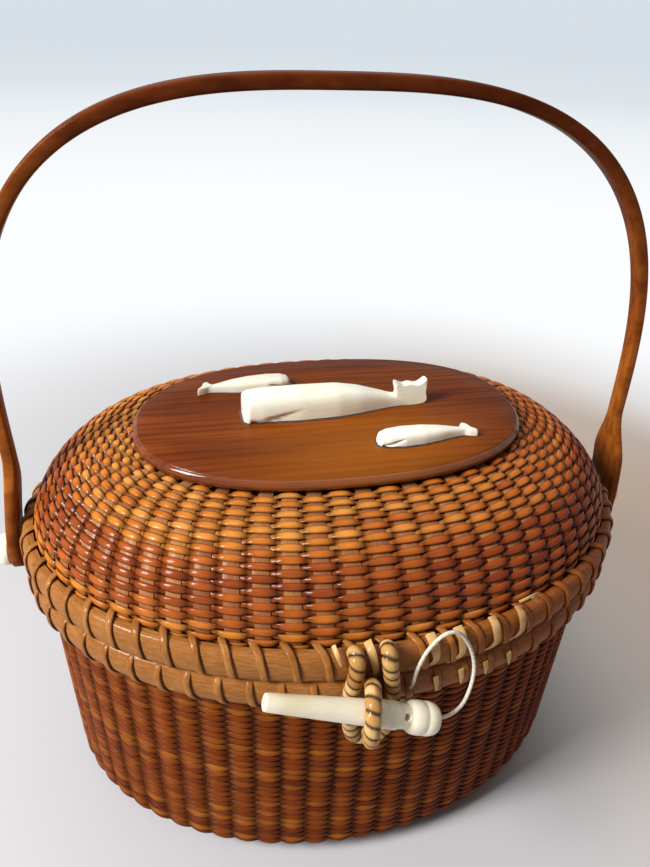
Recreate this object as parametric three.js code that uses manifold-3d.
// Lightship-style basket purse: an oval woven basket with a domed woven lid, a carved bail
// handle on bone pins, two cane loop hinges and a cane hasp closed by a bone peg.
// Millimetres, +Z up, +X to the wearer's right along the oval, -Y towards the clasp.
// The origin is the centre of the base board's underside.

import * as THREE from "three";
import { mergeVertices } from "three/addons/utils/BufferGeometryUtils.js";
import Module from "manifold-3d";

const wasm = await Module();
wasm.setup();

// Basket and lid
const rimLength = 230; // over the outer hoops, left to right
const rimDepth = 176; // over the outer hoops, front to back
const seamHeight = 112; // table to the line where the lid meets the basket
const lidRise = 45; // that line to the top of the lid board
const wallThickness = 3; // stave and weaver together
const hoopHeight = 12.5; // outer hoops
const hoopThickness = 4.5;
const hoopFlat = 1.5; // straight part of the half-round hoop's thickness
const innerHoopHeight = 11;
const innerHoopThickness = 3;
const capThickness = 2.4; // strip that covers the wall's edge between the hoops
const seatGap = 0.3; // between pieces that touch
const curveGap = 0.8; // between a flat piece's middle and the hollow curve that it spans
const wallDraw = 1.2; // how far the basket's wall leans in from hoop to base
const depthDraw = 3; // how much more it leans in at the front and the back
const baseCorner = 9; // radius of the woven corner above the table
const baseThickness = 9;
const baseLip = 2.4; // wood below the base board's groove
const baseMargin = 1.5; // woven corner's end to the base board's edge
const grooveDepth = 5; // in both boards
const staveCount = 65; // odd, so that one weaver winds round over and under by turns
const ribDepth = 0.9; // groove between two staves, outside
const staveFan = 0.4; // how much wider than even the staves stand along the lid board's long sides
const domeSpan = 43; // hoop's outer face to the lid board's edge, level
const domeInPower = 0.92; // powers of the dome's quarter curve, where an ellipse has 1 for both
const domeUpPower = 1.2;
const boardThickness = 10.5; // lid board
const boardLip = 4.2; // wood above the lid board's groove
const boardSetback = 1.8; // lower lip behind the upper one
const boardEdge = 1.6; // bullnose of the lid board
const boardSquareness = 2.35; // oval exponent of the lid board, where an ellipse has 2
const edgeEase = 0.8; // small chamfers on both boards

// Handle and its pins
const pivotDrop = 5.5; // seam to the pin's axis
const archRise = 43; // pin's axis to the start of the arch
const apexRise = 161; // pin's axis to the middle of the handle's top
const archSquareness = 2.8; // exponent of the arch
const legDraw = 2.1; // how far the legs draw in from the pins to the start of the arch
const handleLean = 2.8; // how far its feet stand to +X of the middle of its top
const footDrop = 9.5; // pin's axis to the end of the foot
const footWidth = 15;
const footThickness = 4.2;
const paddleLength = 28; // foot's end to where the leg starts to narrow
const neckLength = 22; // length over which it narrows
const legWidth = 6.4;
const apexWidth = 9.6;
const apexThickness = 4.8;
const handleEase = 1.2; // rounded edges of the handle
const pinRadius = 2;
const pinTail = 0.9; // pin's end beyond the inner washer
const washerThickness = 1.3;
const washerRadius = 5;
const knobRadius = 6.2;
const knobThickness = 6;

// Clasp: hasp on the lid, staple on the basket, peg and tether
const claspX = -6.4;
const strandRadius = 2.5; // wrapped cane of the hasp and the staple
const bandPitch = 3.3; // one turn of the cane wrapping
const bandDip = 0.35; // depth of the groove between two turns
const haspTopHalfWidth = 5.1; // leg to leg at the lid's rim
const haspHalfWidth = 7.6; // leg to leg at the staple
const haspDrop = 19.4; // seam to the middle of the hasp's lower bar
const haspCorner = 5.5;
const stapleHalfHeight = 7.9; // middle of the strand
const stapleDrop = 1; // seam to the staple's centre
const pegLength = 57;
const pegTilt = 20.6; // degrees, head end down
const pegShankLength = 43;
const pegTipRadius = 2.6;
const pegShankRadius = 4.05;
const pegNeckLength = 3.7;
const pegNeckRadius = 3.7;
const pegHeadRadius = 5;
const pegGroove = 0.45; // turned groove round the head
const pegTipOverhang = 33.4; // tip to the staple's centre, along the peg
const cordHoleRadius = 1.1;
const cordRadius = 0.65;

// Hinges
const hingeX = 30; // middle of each hinge from the basket's middle
const hingeDrop = 10; // seam to the hinge's axis
const hingeStrandRadius = 2.2;
const hingeLoopHalfWidth = 6.6;
const hingeLoopCorner = 4;

// Whales on the lid board
const whale = { length: 71, width: 13, height: 10, x: 2.6, y: 0.5, turn: 2, facing: -1 };
const leftWhale = { length: 36.5, width: 8.4, height: 4.4, x: -30.2, y: 21.4, turn: 4, facing: 1 };
const rightWhale = { length: 37.5, width: 8.4, height: 4.6, x: 29.6, y: -24.6, turn: 3, facing: -1 };
const flukeThickness = 3.8; // upright fluke of the large whale
const flukePlateHeight = 2.8; // flat flukes of the small whales

// Counts and shares
const aroundSteps = 48;
const spacingSteps = 1300; // for measuring round an oval
const cornerSteps = 3;
const domeSteps = 6;
const archSteps = 30;
const ringSides = 8;
const turnedSides = 16;
// [radius, along] of the knob and of the peg's head, as shares of their sizes.
const knobShares = [[0.9, 0], [1, 0.2], [0.93, 0.55], [0.62, 0.88]];
const headShares = [[0.93, 0.08], [1, 0.25], [1, 0.42], [1, 0.54], [0.96, 0.75], [0.7, 0.95]];
const headGrooveShare = 0.48; // along the head
const footRoundShares = [0.06, 0.3, 0.65, 1];
const legShares = [0.25, 0.53, 0.61, 0.69, 0.77, 0.85, 0.95];

// Heights and insets worked out from the sizes above
const halfLength = rimLength / 2;
const halfDepth = rimDepth / 2;
const basketTop = seamHeight - seatGap / 2;
const lidBottom = seamHeight + seatGap / 2;
const hoopLow = basketTop - hoopHeight;
const hoopHigh = lidBottom + hoopHeight;
const wallInset = hoopThickness + 2 * seatGap + wallThickness / 2;
const innerHoopInset = hoopThickness + wallThickness + 3 * seatGap;
const pivotHeight = seamHeight - pivotDrop;
const legX = halfLength + washerThickness + 3 * seatGap + footThickness / 2;
const rightLegX = legX + 2 * handleLean;
const boardTop = seamHeight + lidRise;
const deg = Math.PI / 180;
const fullTurn = 2 * Math.PI;

// Closed surface through rings of points, either closed on itself or capped at both ends.
function skin(rings, closed) {
  const count = rings[0].length;
  const points = rings.flat();
  const faces = [];
  const last = closed ? rings.length : rings.length - 1;
  for (let i = 0; i < last; i++) {
    const here = i * count;
    const next = ((i + 1) % rings.length) * count;
    for (let j = 0; j < count; j++) {
      const k = (j + 1) % count;
      faces.push(here + j, here + k, next + k, here + j, next + k, next + j);
    }
  }
  if (!closed) {
    for (const [ring, start, flip] of [[rings[0], 0, true], [rings.at(-1), last * count, false]]) {
      const middle = ring.reduce((sum, p) => sum.add(p), new THREE.Vector3()).divideScalar(count);
      points.push(middle);
      for (let j = 0; j < count; j++) {
        const a = start + j;
        const b = start + ((j + 1) % count);
        faces.push(...(flip ? [points.length - 1, b, a] : [points.length - 1, a, b]));
      }
    }
  }
  const geometry = new THREE.BufferGeometry().setFromPoints(points);
  geometry.setIndex(faces);
  return facingOut(geometry);
}

// Turns every face round where the enclosed volume comes out negative.
function facingOut(geometry) {
  const index = geometry.index.array;
  const at = (i) => new THREE.Vector3().fromBufferAttribute(geometry.attributes.position, index[i]);
  let volume = 0;
  for (let i = 0; i < index.length; i += 3) {
    volume += at(i).dot(at(i + 1).cross(at(i + 2)));
  }
  if (volume < 0) {
    for (let i = 0; i < index.length; i += 3) {
      [index[i], index[i + 1]] = [index[i + 1], index[i]];
    }
  }
  return geometry;
}

function toSolid(geometry) {
  const bare = geometry.clone();
  bare.deleteAttribute("normal");
  bare.deleteAttribute("uv");
  const merged = mergeVertices(bare);
  const vertProperties = new Float32Array(merged.attributes.position.array);
  const triVerts = new Uint32Array(merged.index.array);
  return new wasm.Manifold(new wasm.Mesh({ numProp: 3, vertProperties, triVerts }));
}

function toGeometry(solid) {
  const { vertProperties, triVerts } = solid.getMesh();
  const geometry = new THREE.BufferGeometry();
  geometry.setAttribute("position", new THREE.BufferAttribute(vertProperties, 3));
  geometry.setIndex(new THREE.BufferAttribute(triVerts, 1));
  return geometry;
}

const cut = (geometry, tool) => toGeometry(toSolid(geometry).subtract(toSolid(tool)));
const join = (a, b) => toGeometry(toSolid(a).add(toSolid(b)));

// Point on the oval that lies so far inside the hoops' outer face.
function ovalPoint(inset, height, turn, draw, power) {
  const c = Math.cos(turn);
  const s = Math.sin(turn);
  const x = (halfLength - inset) * Math.sign(c) * Math.abs(c) ** (2 / power);
  const y = (halfDepth - inset - draw) * Math.sign(s) * Math.abs(s) ** (2 / power);
  return new THREE.Vector3(x, y, height);
}

// The basket's ovals are ellipses that draw in at the front and back towards the base.
function basketPoint([inset, height], turn) {
  return ovalPoint(inset, height, turn, depthDraw * (1 - height / seamHeight), 2);
}

// The lid's ovals grow squarer from the rim's ellipse to the board.
function lidPoint([inset, height], turn) {
  const power = 2 + (boardSquareness - 2) * (inset / domeSpan);
  return ovalPoint(inset, height, turn, 0, power);
}

const turns = Array.from({ length: aroundSteps }, (_, i) => (i / aroundSteps) * fullTurn);

// A section of [inset, height] points carried round the oval.
function ovalRing(section, place) {
  return skin(turns.map((turn) => section.map((point) => place(point, turn))), true);
}

// A solid board, from rows of [inset, height] from its underside to its top.
function ovalBoard(rows, place) {
  return skin(rows.map((row) => turns.map((turn) => place(row, turn))), false);
}

const ease = (share) => share * share * (3 - 2 * share);
const mix = (a, b, share) => a + (b - a) * share;

// Steps from 0 to 1, both ends included.
const steps = (count) => Array.from({ length: count + 1 }, (_, i) => i / count);

// Woven walls

// Turn that lies a share of the way round an oval, measured along it.
function evenTurns(inset, place) {
  const fine = steps(spacingSteps).map((share) => share * fullTurn);
  const run = [0];
  for (let i = 1; i < fine.length; i++) {
    run.push(run[i - 1] + place([inset, 0], fine[i]).distanceTo(place([inset, 0], fine[i - 1])));
  }
  return (share) => {
    const goal = share * run.at(-1);
    const i = run.findIndex((length) => length > goal);
    return mix(fine[i - 1], fine[i], (goal - run[i - 1]) / (run[i] - run[i - 1]));
  };
}

// A line of [inset, height] points moved square to itself, to its outer side where reach is above 0.
function moved(line, reach) {
  return line.map(([inset, height], i) => {
    const a = line[Math.max(i - 1, 0)];
    const b = line[Math.min(i + 1, line.length - 1)];
    const along = Math.hypot(b[0] - a[0], b[1] - a[1]);
    const scale = reach / along;
    return [inset + (b[1] - a[1]) * scale, height - (b[0] - a[0]) * scale];
  });
}

// Closed wall on a line that runs down or inwards, with a rib over each stave and a groove between.
function wovenWall(line, place, turnAt) {
  const count = 2 * staveCount;
  const inner = moved(line, -wallThickness / 2).reverse();
  const rib = [...moved(line, wallThickness / 2), ...inner];
  const groove = [...moved(line, wallThickness / 2 - ribDepth), ...inner];
  const rings = Array.from({ length: count }, (_, i) =>
    (i % 2 ? groove : rib).map((point) => place(point, turnAt(i / count, point[0]))),
  );
  return skin(rings, true);
}

// Basket

const baseGrooveLow = baseLip;
const baseGrooveHigh = baseLip + wallThickness + 2 * seatGap;
const baseWallInset = wallInset + wallDraw;
const baseInset = baseWallInset + baseCorner + baseMargin;

function basketWall() {
  const floorHeight = baseLip + seatGap + wallThickness / 2;
  const line = [
    [wallInset, basketTop - capThickness - seatGap],
    [wallInset, hoopLow],
  ];
  for (const share of steps(cornerSteps)) {
    const angle = (share * Math.PI) / 2;
    const inset = baseWallInset + baseCorner * (1 - Math.cos(angle));
    line.push([inset, floorHeight + baseCorner * (1 - Math.sin(angle))]);
  }
  line.push([baseInset + grooveDepth - seatGap, floorHeight]);
  return wovenWall(line, basketPoint, evenTurns(wallInset, basketPoint));
}

function baseBoard() {
  const rows = [
    [baseInset + edgeEase, 0],
    [baseInset, edgeEase],
    [baseInset, baseGrooveLow],
    [baseInset + grooveDepth, baseGrooveLow],
    [baseInset + grooveDepth, baseGrooveHigh],
    [baseInset, baseGrooveHigh],
    [baseInset, baseThickness - edgeEase],
    [baseInset + edgeEase, baseThickness],
  ];
  return ovalBoard(rows, basketPoint);
}

// Half-round section: flat inside, bulging to the outer face.
function hoopSection(low, high) {
  const middle = (low + high) / 2;
  const section = [[hoopThickness, low]];
  for (const share of steps(cornerSteps)) {
    const angle = (share - 1 / 2) * Math.PI;
    const bulge = hoopFlat + (hoopThickness - hoopFlat) * Math.cos(angle);
    section.push([hoopThickness - bulge, middle + (high - middle) * Math.sin(angle)]);
  }
  section.push([hoopThickness, high]);
  return section;
}

function flatSection(inset, thickness, low, high) {
  return [
    [inset, low],
    [inset, high],
    [inset + thickness, high],
    [inset + thickness, low],
  ];
}

const capInset = hoopThickness + seatGap;

// Drill along X for the handle's pins, through both ends of the basket and both feet.
function pinDrill() {
  const reach = 2 * (rightLegX + footThickness);
  const drill = new THREE.CylinderGeometry(pinRadius + seatGap, pinRadius + seatGap, reach, turnedSides);
  return drill.rotateZ(Math.PI / 2).translate(0, 0, pivotHeight);
}

// Lid

const lidGrooveHigh = boardTop - boardLip;
const lidGrooveLow = lidGrooveHigh - wallThickness - 3 * seatGap;
const boardLow = boardTop - boardThickness;

// Spacing of the lid's staves: even at the rim, and fanned out along the board's long sides.
function lidTurns() {
  const rimTurn = evenTurns(wallInset, lidPoint);
  const boardTurn = evenTurns(domeSpan, lidPoint);
  return (share, inset) => {
    const fan = THREE.MathUtils.clamp((inset - wallInset) / (domeSpan - wallInset), 0, 1);
    const onBoard = share - (staveFan * Math.sin(2 * fullTurn * share)) / (2 * fullTurn);
    return mix(rimTurn(share), boardTurn(onBoard), fan);
  };
}

function lidWall() {
  const topInset = domeSpan + grooveDepth - 2 * seatGap;
  const topHeight = lidGrooveHigh - seatGap - wallThickness / 2;
  const line = steps(domeSteps).map((share) => {
    const angle = ((1 - share) * Math.PI) / 2;
    const inset = topInset - (topInset - wallInset) * Math.cos(angle) ** domeInPower;
    return [inset, hoopHigh + (topHeight - hoopHigh) * Math.sin(angle) ** domeUpPower];
  });
  line.push([wallInset, lidBottom + capThickness + seatGap]);
  return wovenWall(line, lidPoint, lidTurns());
}

function lidBoard() {
  const lower = domeSpan + boardSetback;
  const rows = [
    [lower + edgeEase, boardLow],
    [lower, boardLow + edgeEase],
    [lower, lidGrooveLow],
    [domeSpan + grooveDepth, lidGrooveLow],
    [domeSpan + grooveDepth, lidGrooveHigh],
    [domeSpan + edgeEase, lidGrooveHigh],
    [domeSpan, lidGrooveHigh + edgeEase],
  ];
  for (const share of steps(cornerSteps - 1)) {
    const angle = (share * Math.PI) / 2;
    const inset = domeSpan + boardEdge * (1 - Math.cos(angle));
    rows.push([inset, boardTop - boardEdge * (1 - Math.sin(angle))]);
  }
  return ovalBoard(rows, lidPoint);
}

// Handle

// Width of a leg at a height above the end of its foot.
function legWidthAt(rise) {
  const narrowing = THREE.MathUtils.clamp((rise - paddleLength) / neckLength, 0, 1);
  const end = THREE.MathUtils.clamp(rise / (footWidth / 2), 0, 1);
  return mix(footWidth, legWidth, ease(narrowing)) * Math.sqrt(1 - (1 - end) ** 2);
}

// Right half of the handle, from the foot's end to the middle of the top.
function handleStations() {
  const footEnd = pivotHeight - footDrop;
  const springHeight = pivotHeight + archRise;
  const footX = legX + handleLean;
  const springX = footX - legDraw;
  const round = footRoundShares.map((share) => (share * footWidth) / 2);
  const leg = legShares.map((share) => share * (springHeight - footEnd));
  const rises = [...round, ...leg];
  const stations = rises.map((rise) => {
    const drawn = legDraw * ease(THREE.MathUtils.clamp((rise - footDrop) / archRise, 0, 1));
    return { x: footX - drawn, z: footEnd + rise, width: legWidthAt(rise), thickness: footThickness };
  });
  for (const share of steps(archSteps / 2)) {
    const angle = (share * Math.PI) / 2;
    const x = springX * Math.cos(angle) ** (2 / archSquareness);
    const z = springHeight + (apexRise - archRise) * Math.sin(angle) ** (2 / archSquareness);
    const width = mix(legWidthAt(springHeight - footEnd), apexWidth, ease(share));
    stations.push({ x, z, width, thickness: mix(footThickness, apexThickness, share) });
  }
  return stations;
}

// Flat strap section with eased edges, square to the handle's line.
function strapSection(station, before, after) {
  const along = new THREE.Vector2(after.x - before.x, after.z - before.z).normalize();
  const w = station.width / 2;
  const t = station.thickness / 2;
  const e = Math.min(handleEase, w / 2);
  const corners = [
    [w, e - t], [w, t - e], [w - e, t], [e - w, t],
    [-w, t - e], [-w, e - t], [e - w, -t], [w - e, -t],
  ];
  return corners.map(([y, out]) => new THREE.Vector3(station.x - along.y * out, y, station.z + along.x * out));
}

function handleBail() {
  const right = handleStations();
  const left = right.slice(0, -1).reverse().map((s) => ({ ...s, x: -s.x }));
  const lean = (z) => handleLean * (1 - (z - pivotHeight) / apexRise);
  const line = [...right, ...left].map((s) => ({ ...s, x: s.x + lean(s.z) }));
  const rings = line.map((station, i) => {
    const before = line[Math.max(i - 1, 0)];
    const after = line[Math.min(i + 1, line.length - 1)];
    return strapSection(station, before, after);
  });
  return cut(skin(rings, false), pinDrill());
}

// Turned piece: [radius, distance along +X] points, starting and ending on the axis.
function turned(profile) {
  const points = profile.map(([radius, along]) => new THREE.Vector2(radius, along));
  return new THREE.LatheGeometry(points, turnedSides).rotateZ(-Math.PI / 2);
}

const innerWasherX = halfLength - innerHoopInset - innerHoopThickness - curveGap;
const outerWasherX = halfLength + seatGap;

// Bone pin: shank inwards through foot, washers and hoops, domed knob outside.
function pivotPin(footX) {
  const knobX = footX + footThickness / 2 + seatGap;
  const tail = innerWasherX - washerThickness - pinTail;
  const profile = [
    [0, tail],
    [pinRadius, tail],
    [pinRadius, knobX],
    ...knobShares.map(([across, along]) => [across * knobRadius, knobX + along * knobThickness]),
    [0, knobX + knobThickness],
  ];
  return turned(profile);
}

function washer(from, to) {
  const bore = pinRadius + seatGap;
  const profile = [
    [bore, from],
    [washerRadius, from],
    [washerRadius, to],
    [bore, to],
    [bore, from],
  ];
  return turned(profile);
}

// Wrapped cane loops

// Tube along a curve with a shallow groove between each two turns of the wrapping.
function wrappedTube(curve, radius, closed) {
  const bands = Math.round(curve.getLength() / bandPitch);
  const count = 2 * bands;
  const frames = curve.computeFrenetFrames(count, closed);
  const stations = closed ? count : count + 1;
  const rings = Array.from({ length: stations }, (_, i) => {
    const middle = curve.getPointAt(i / count);
    const r = i % 2 ? radius : radius - bandDip;
    return Array.from({ length: ringSides }, (_, j) => {
      const angle = (j / ringSides) * fullTurn;
      return middle
        .clone()
        .addScaledVector(frames.normals[i], r * Math.cos(angle))
        .addScaledVector(frames.binormals[i], r * Math.sin(angle));
    });
  });
  return skin(rings, closed);
}

// Front or back face of the outer hoops at a place along X.
const rimFace = (x) => halfDepth * Math.sqrt(1 - (x / halfLength) ** 2);

// Loop that hooks over the lid's outer hoop, hangs down its face and turns back up.
function hangingLoop({ middle, topHalf, lowHalf, faceY, side, lowHeight, radius, corner }) {
  const overHoop = hoopHigh + seatGap + radius;
  const tuck = rimFace(middle) - hoopThickness + radius;
  const leg = (sign) => [
    [middle + sign * topHalf, tuck, overHoop],
    [middle + sign * topHalf, mix(tuck, faceY, 1 / 2), overHoop + radius / 4],
    [middle + sign * topHalf, faceY, overHoop - radius],
    [middle + sign * mix(topHalf, lowHalf, 1 / 2), faceY, mix(overHoop, lowHeight, 1 / 2)],
    [middle + sign * lowHalf, faceY, lowHeight + corner],
    [middle + sign * (lowHalf - corner * (1 - Math.SQRT1_2)), faceY, lowHeight + corner * (1 - Math.SQRT1_2)],
    [middle + sign * (lowHalf - corner), faceY, lowHeight],
  ];
  const route = [...leg(-1), ...leg(1).reverse()];
  return new THREE.CatmullRomCurve3(route.map(([x, y, z]) => new THREE.Vector3(x, side * y, z)));
}

// Upright oval ring, square to the basket's face.
function standingRing(x, y, z, halfAcross, halfTall) {
  const points = Array.from({ length: ringSides }, (_, i) => {
    const angle = (i / ringSides) * fullTurn;
    return new THREE.Vector3(x, y + halfAcross * Math.cos(angle), z + halfTall * Math.sin(angle));
  });
  return new THREE.CatmullRomCurve3(points, true);
}

const haspY = rimFace(claspX) + seatGap + strandRadius;
const pegY = haspY + strandRadius + seatGap + pegShankRadius;
const stapleHeight = seamHeight - stapleDrop;
const stapleHalfAcross = pegY - rimFace(claspX) - seatGap - strandRadius;

function hasp() {
  const shape = {
    middle: claspX,
    topHalf: haspTopHalfWidth,
    lowHalf: haspHalfWidth,
    faceY: haspY,
    side: -1,
    lowHeight: seamHeight - haspDrop,
    radius: strandRadius,
    corner: haspCorner,
  };
  return wrappedTube(hangingLoop(shape), strandRadius, false);
}

function frontStaple() {
  const ring = standingRing(claspX, -pegY, stapleHeight, stapleHalfAcross, stapleHalfHeight);
  return wrappedTube(ring, strandRadius, true);
}

// Bone peg, lying along +X with the tip at zero.
function pegBody() {
  const headStart = pegShankLength + pegNeckLength;
  const head = pegLength - headStart;
  const tipEase = pegTipRadius / 3;
  const onHead = ([across, along]) => [across * pegHeadRadius, headStart + along * head];
  const profile = [
    [0, 0],
    [pegTipRadius - tipEase, 0],
    [pegTipRadius, tipEase],
    [pegShankRadius, pegShankLength],
    [pegNeckRadius, pegShankLength + pegNeckLength / 4],
    [pegNeckRadius, headStart],
    ...headShares.slice(0, 3).map(onHead),
    [pegHeadRadius - pegGroove, headStart + headGrooveShare * head],
    ...headShares.slice(3).map(onHead),
    [0, pegLength],
  ];
  const drill = new THREE.CylinderGeometry(cordHoleRadius, cordHoleRadius, 3 * pegHeadRadius, ringSides);
  return cut(turned(profile), drill.translate(headStart - pegNeckLength / 2, 0, 0));
}

// Where the tether runs, from the basket's rim up in a loop and down into the peg's neck.
const tetherRoute = [
  [5.2, -88.9, 108.6], [5.4, -90.4, 112.4], [6.4, -90.2, 117.6], [9.1, -89.3, 123.4], [12.5, -88.8, 128],
  [16.8, -88.5, 130.4], [21, -88.2, 128.8], [24.8, -87.9, 123.6], [27.5, -87.8, 117], [28.5, -88.4, 110.8],
  [28, -89.6, 104.6], [25.8, -90.8, 99.2], [22.2, -91.4, 95.9], [18.2, -91.4, 95], [13.8, -91, 96.5],
  [9.8, -90.7, 99.8], [6.8, -90.8, 103.6], [5, -91.6, 106.1], [4.4, -93.2, 107], [4.33, -95.2, 107],
  [4.33, -97.4, 107],
];

// Plain round tube in steps of about two and a half diameters.
function tetherCord() {
  const route = new THREE.CatmullRomCurve3(tetherRoute.map((p) => new THREE.Vector3(...p)));
  const circle = new THREE.Shape(
    Array.from({ length: ringSides }, (_, i) => {
      const angle = (i / ringSides) * fullTurn;
      return new THREE.Vector2(cordRadius * Math.cos(angle), cordRadius * Math.sin(angle));
    }),
  );
  const count = Math.round(route.getLength() / (5 * cordRadius));
  return new THREE.ExtrudeGeometry(circle, { steps: count, extrudePath: route });
}

// Hinges

const hingeInnerX = hingeX - hingeStrandRadius;
const hingeRingHalf = 2 * hingeStrandRadius + seatGap;
const hingeY = rimFace(hingeInnerX) + seatGap + hingeRingHalf + hingeStrandRadius;
const hingeHeight = seamHeight - hingeDrop;

function hingeLidLoop(x) {
  const shape = {
    middle: x,
    topHalf: hingeLoopHalfWidth,
    lowHalf: hingeLoopHalfWidth,
    faceY: hingeY,
    side: 1,
    lowHeight: hingeHeight,
    radius: hingeStrandRadius,
    corner: hingeLoopCorner,
  };
  return wrappedTube(hangingLoop(shape), hingeStrandRadius, false);
}

function hingeBasketRing(x) {
  const ring = standingRing(x, hingeY, hingeHeight, hingeRingHalf, hingeRingHalf);
  return wrappedTube(ring, hingeStrandRadius, true);
}

// Whales

// [along, half width, height] as shares of the whale's length, width and height, from the head.
const largeWhaleShares = [
  [0, 0.36, 0.8], [0.015, 0.43, 0.92], [0.1, 0.48, 0.98], [0.25, 0.5, 1], [0.45, 0.48, 0.98],
  [0.6, 0.39, 0.86], [0.72, 0.26, 0.64], [0.8, 0.18, 0.46], [0.9, 0.15, 0.36], [0.97, 0.12, 0.34],
];
const smallWhaleShares = [
  [0, 0.16, 0.45], [0.03, 0.3, 0.78], [0.1, 0.42, 0.95], [0.25, 0.5, 1], [0.45, 0.46, 0.98],
  [0.62, 0.34, 0.88], [0.75, 0.21, 0.74], [0.84, 0.16, 0.64], [0.9, 0.16, 0.6],
];
const uprightFlukeShare = 0.19; // of the large whale's length
const flatFlukeShare = 0.14; // of a small whale's length
// Half section, as shares of half width and height, from the flat underside over the back.
const whaleSectionShares = [[1, 0], [1.04, 0.4], [0.76, 0.82], [0.28, 1]];
// Outline of the upright fluke, along and up, as shares of its width and height.
const uprightFlukeShares = [
  [0, 0], [1, 0], [1.02, 0.5], [1, 1], [0.86, 0.84], [0.7, 0.82], [0.5, 0.9], [0.3, 0.82], [0.14, 1], [0, 0.7],
];
// Outline of a flat fluke, away from the tail and across, as shares of its length and width.
const flatFlukeShares = [
  [-0.3, -0.14], [0.1, -0.2], [0.55, -0.36], [1.15, -0.5], [0.72, -0.02],
  [0.5, 0.5], [0.2, 0.72], [0, 0.5], [-0.1, 0.2], [-0.3, 0.14],
];

function whaleBody(size, shares) {
  const side = (sign) => whaleSectionShares.map(([across, up]) => [sign * across, up]);
  const section = [...side(1), ...side(-1).reverse()];
  const rings = shares.map(([along, half, tall]) =>
    section.map(([across, up]) => {
      const x = size.facing * size.length * (1 / 2 - along);
      return new THREE.Vector3(x, across * half * size.width, up * tall * size.height);
    }),
  );
  return skin(rings, false);
}

function plate(outline, thickness) {
  const shape = new THREE.Shape(outline.map(([x, y]) => new THREE.Vector2(x, y)));
  return new THREE.ExtrudeGeometry(shape, { depth: thickness, bevelEnabled: false });
}

// Large whale, with its fluke standing up at the tail.
function largeWhale(size) {
  const flukeLength = size.length * uprightFlukeShare;
  const start = size.length / 2 - flukeLength;
  const outline = uprightFlukeShares.map(([along, up]) => [start + along * flukeLength, up * size.height]);
  const fluke = plate(outline, flukeThickness).rotateX(Math.PI / 2).translate(0, flukeThickness / 2, 0);
  return join(whaleBody(size, largeWhaleShares), fluke);
}

// Small whale in low relief, its two flukes flat behind the tail.
function smallWhale(size) {
  const flukeLength = size.length * flatFlukeShare;
  const start = size.length / 2 - flukeLength;
  const outline = flatFlukeShares.map(([away, across]) => [
    -size.facing * (start + away * flukeLength),
    across * size.width,
  ]);
  return join(whaleBody(size, smallWhaleShares), plate(outline, flukePlateHeight));
}

// Assembly

const colours = {
  staveWeave: 0xa8642a,
  rimCane: 0xb9773a,
  cherry: 0x7a3a18,
  bone: 0xf1e6c8,
  paleCane: 0xd9b46e,
  cord: 0xe6dfcf,
};

function finish(colour, roughness) {
  return new THREE.MeshStandardMaterial({ color: colour, roughness, metalness: 0 });
}

const basket = new THREE.Group();
const purse = new THREE.Group();
purse.add(basket);

function add(parent, name, geometry, colour, roughness) {
  const mesh = new THREE.Mesh(geometry, finish(colour, roughness));
  mesh.name = name;
  parent.add(mesh);
  return mesh;
}

function addBasket() {
  const drill = pinDrill();
  const outer = ovalRing(hoopSection(hoopLow, basketTop), basketPoint);
  const innerLow = basketTop - innerHoopHeight;
  const inner = ovalRing(flatSection(innerHoopInset, innerHoopThickness, innerLow, basketTop), basketPoint);
  const capLow = basketTop - capThickness;
  const cap = ovalRing(flatSection(capInset, wallThickness, capLow, basketTop), basketPoint);
  add(basket, "base_board", baseBoard(), colours.cherry, 0.4);
  add(basket, "basket_wall", cut(basketWall(), drill), colours.staveWeave, 0.5);
  add(basket, "basket_outer_hoop", cut(outer, drill), colours.rimCane, 0.45);
  add(basket, "basket_inner_hoop", cut(inner, drill), colours.rimCane, 0.45);
  add(basket, "basket_rim_cap", cap, colours.rimCane, 0.5);
}

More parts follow.
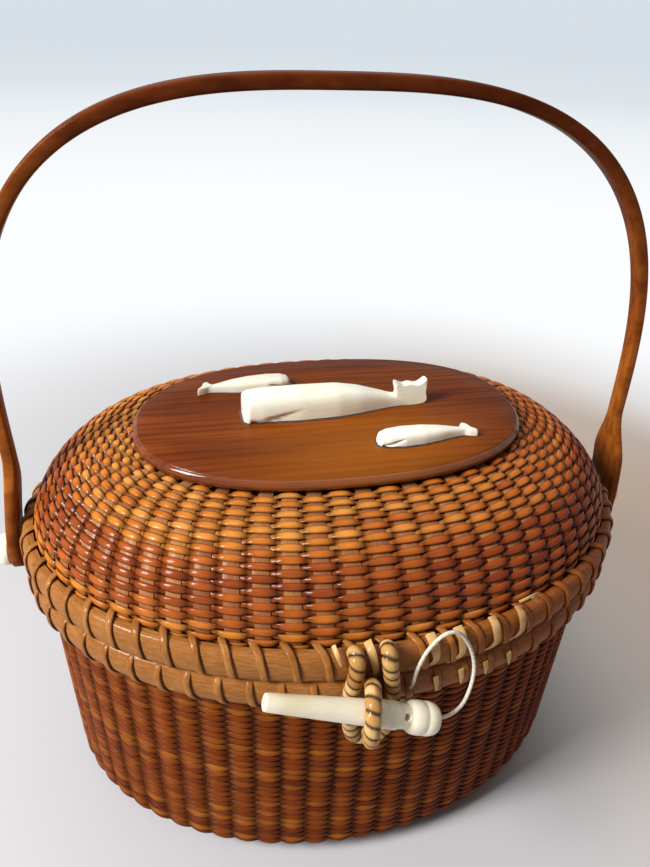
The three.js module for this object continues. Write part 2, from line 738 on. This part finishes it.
function addLid() {
  const lid = new THREE.Group();
  purse.add(lid);
  const innerHigh = lidBottom + innerHoopHeight;
  const inner = flatSection(innerHoopInset, innerHoopThickness, lidBottom, innerHigh);
  const cap = flatSection(capInset, wallThickness, lidBottom, lidBottom + capThickness);
  add(lid, "lid_wall", lidWall(), colours.staveWeave, 0.5);
  add(lid, "lid_board", lidBoard(), colours.cherry, 0.3);
  add(lid, "lid_outer_hoop", ovalRing(hoopSection(lidBottom, hoopHigh), lidPoint), colours.rimCane, 0.45);
  add(lid, "lid_inner_hoop", ovalRing(inner, lidPoint), colours.rimCane, 0.45);
  add(lid, "lid_rim_cap", ovalRing(cap, lidPoint), colours.rimCane, 0.5);
  for (const [name, size, shape] of [
    ["whale_large", whale, largeWhale],
    ["whale_small_left", leftWhale, smallWhale],
    ["whale_small_right", rightWhale, smallWhale],
  ]) {
    const mesh = add(lid, name, shape(size), colours.bone, 0.35);
    mesh.position.set(size.x, size.y, boardTop + seatGap);
    mesh.rotation.z = size.turn * deg;
  }
}

function addHandle() {
  add(purse, "handle_bail", handleBail(), colours.cherry, 0.35);
  for (const [side, turn, footX] of [["right", 0, rightLegX], ["left", Math.PI, legX]]) {
    const footFace = footX - footThickness / 2 - 2 * seatGap;
    const end = new THREE.Group();
    end.position.z = pivotHeight;
    end.rotation.z = turn;
    basket.add(end);
    add(end, `pivot_pin_${side}`, pivotPin(footX), colours.bone, 0.3);
    add(end, `outer_washer_${side}`, washer(outerWasherX, footFace), colours.bone, 0.35);
    add(end, `inner_washer_${side}`, washer(innerWasherX - washerThickness, innerWasherX), colours.bone, 0.35);
  }
}

function addClasp() {
  add(purse, "hasp", hasp(), colours.paleCane, 0.45);
  add(basket, "front_staple", frontStaple(), colours.paleCane, 0.45);
  const peg = add(purse, "peg", pegBody(), colours.bone, 0.3);
  peg.rotation.y = pegTilt * deg;
  const lead = pegTipOverhang;
  peg.position.set(
    claspX - lead * Math.cos(pegTilt * deg),
    -pegY,
    stapleHeight + lead * Math.sin(pegTilt * deg),
  );
  add(purse, "tether_cord", tetherCord(), colours.cord, 0.8);
}

function addHinges() {
  for (const [side, x] of [["left", -hingeX], ["right", hingeX]]) {
    add(purse, `hinge_lid_loop_${side}`, hingeLidLoop(x), colours.paleCane, 0.5);
    add(basket, `hinge_basket_ring_${side}`, hingeBasketRing(x), colours.paleCane, 0.5);
  }
}

addBasket();
addLid();
addHandle();
addClasp();
addHinges();

export default purse;
